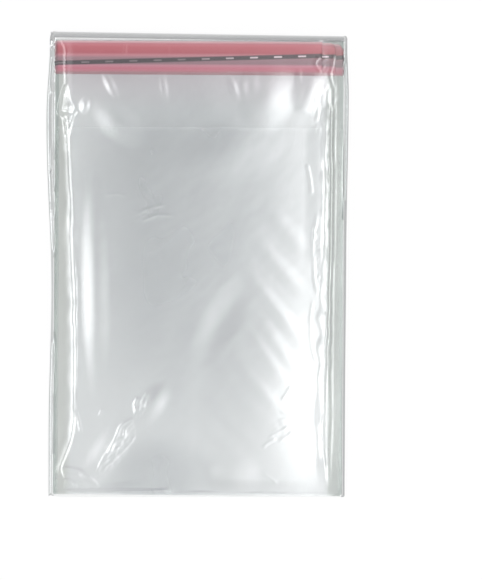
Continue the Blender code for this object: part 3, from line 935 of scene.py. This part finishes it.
def adhesive_material():
    """Dark tacky glue."""
    nodes = Nodes(bpy.data.materials.new("adhesive_finish"))
    colour = nodes.mix(nodes.noise(300, 4), (0.07, 0.06, 0.07), (0.16, 0.13, 0.15))
    nodes.bump(nodes.noise(1200, 3), 0.00003)
    return nodes.finish(Base_Color=colour, Roughness=0.30)


def dress(piece, node, materials):
    """Lets a piece stand for a node, with its finishes and its body."""
    for material in materials:
        piece.data.materials.append(material)
    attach(piece, "root")
    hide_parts(node)


def build_pack():
    """All the pieces, each in place of its node."""
    single = bag_film_material("single_film_finish", SINGLE_OPACITY)
    loose = bag_film_material("loose_film_finish", LOOSE_OPACITY)
    dense = bag_film_material("stacked_film_finish", STACKED_OPACITY)
    liner = liner_material()
    glue = adhesive_material()
    wrapper_films = (
        wrapper_film_material("wrapper_film_finish", WRAPPER_OPACITY),
        grey_band_material(),
        seam_material(),
        wrapper_film_material("wrapper_on_liner_finish", LYING_OPACITY),
    )
    dress(wrapper_piece(), "wrapper", wrapper_films)
    for name in BAG_NAMES:
        number = name[-2:]
        films = (single, loose) if name in BAG_NAMES[-2:] else (dense, dense)
        dress(bag_piece(name), name, films)
        strip = strip_piece(
            f"liner_{number}", f"liner_strip_{number}", LINER_STEPS, LINER_THICKNESS,
            wave_height=WAVE_HEIGHT, rounding=0.0 if name == TOP_BAG else LINER_ROUNDING,
        )
        dress(strip, f"liner_{number}", (liner,))
        strip = strip_piece(
            f"adhesive_{number}", f"glue_line_{number}", GLUE_STEPS, GLUE_THICKNESS
        )
        dress(strip, f"adhesive_{number}", (glue,))


def build_floor():
    """A plain white floor that keeps the object's shadow."""
    bpy.ops.mesh.primitive_plane_add(size=FLOOR_SIZE, location=(0, 0, -FLOOR_DROP))
    floor = bpy.context.object
    floor.name = "floor"
    nodes = Nodes(bpy.data.materials.new("floor_finish"))
    floor.data.materials.append(nodes.finish(Base_Color=(*FLOOR_COLOUR, 1), Roughness=0.9))
    seen = nodes.add("ShaderNodeLightPath")
    share = nodes.math("MAXIMUM", seen.outputs["Is Camera Ray"], seen.outputs["Is Glossy Ray"])
    share = nodes.math("MAXIMUM", share, seen.outputs["Is Transmission Ray"])
    share = nodes.math("MULTIPLY", share, FLOOR_GLOW)
    glow = nodes.add("ShaderNodeEmission")
    mixed = nodes.add("ShaderNodeMixShader")
    nodes.fill(mixed.inputs, (share, nodes.shader.outputs[0], glow.outputs[0]))
    nodes.link(mixed.outputs[0], nodes.tree.nodes["Material Output"].inputs["Surface"])


def softbox(name, place, size, power):
    """A square area lamp that faces the pack."""
    lamp = bpy.data.lights.new(name, "AREA")
    lamp.shape = "SQUARE"
    lamp.size = size
    lamp.energy = power
    item = bpy.data.objects.new(name, lamp)
    item.location = place
    item.rotation_euler = (-Vector(place)).to_track_quat("-Z", "Y").to_euler()
    item.visible_camera = False
    item.visible_glossy = False
    bpy.context.scene.collection.objects.link(item)


def window(nodes, spot, middle, reach, bright):
    """A soft oval in the room; spot, middle and reach are measured on a ceiling at height 1."""
    away = nodes.vector("SUBTRACT", spot, (*middle, 0))
    shrunk = nodes.vector("MULTIPLY", away, (1 / reach[0], 1 / reach[1], 0))
    share = nodes.add(
        "ShaderNodeMapRange", interpolation_type="SMOOTHSTEP",
        From_Min=1.0, From_Max=0.0, To_Max=bright,
    )
    nodes.link(nodes.vector("LENGTH", shrunk), share.inputs["Value"])
    return share.outputs[0]


def build_light():
    """A room that is grey overhead and white at the horizon, with soft windows and softboxes."""
    world = bpy.data.worlds.new("room")
    bpy.context.scene.world = world
    nodes = Nodes(world)
    place = nodes.add("ShaderNodeTexCoord").outputs["Generated"]
    split = nodes.add("ShaderNodeSeparateXYZ")
    nodes.link(place, split.inputs[0])
    up = split.outputs["Z"]
    room = [(height, [level * tint for tint in ROOM_TINT]) for height, level in ROOM]
    light = nodes.ramp(up, room)
    ceiling = nodes.vector("DIVIDE", place, nodes.math("MAXIMUM", up, CEILING_LIMIT))
    for middle, reach, bright in WINDOWS:
        light = nodes.vector("ADD", light, window(nodes, ceiling, middle, reach, bright))
    nodes.link(light, nodes.tree.nodes["Background"].inputs["Color"])
    for number, (spot, size, power) in enumerate(SOFTBOXES):
        softbox(f"softbox_{number + 1}", spot, size, power)


def build_camera():
    """A camera that looks straight down over the middle of the photograph."""
    camera = bpy.data.cameras.new("camera")
    camera.sensor_fit = "HORIZONTAL"
    camera.sensor_width = SENSOR_WIDTH
    camera.lens = SENSOR_WIDTH * (CAMERA_HEIGHT - SCALE_HEIGHT) / (PHOTO_WIDTH * PIXEL)
    item = bpy.data.objects.new("camera", camera)
    middle = from_photo((PHOTO_WIDTH / 2, PHOTO_HEIGHT / 2))
    item.location = (middle[0], middle[1], CAMERA_HEIGHT)
    bpy.context.scene.collection.objects.link(item)
    bpy.context.scene.camera = item
    bpy.context.scene.view_settings.view_transform = "Standard"
    bpy.context.scene.cycles.transparent_max_bounces = FILM_LAYERS


build_camera()
build_floor()
build_light()
build_pack()
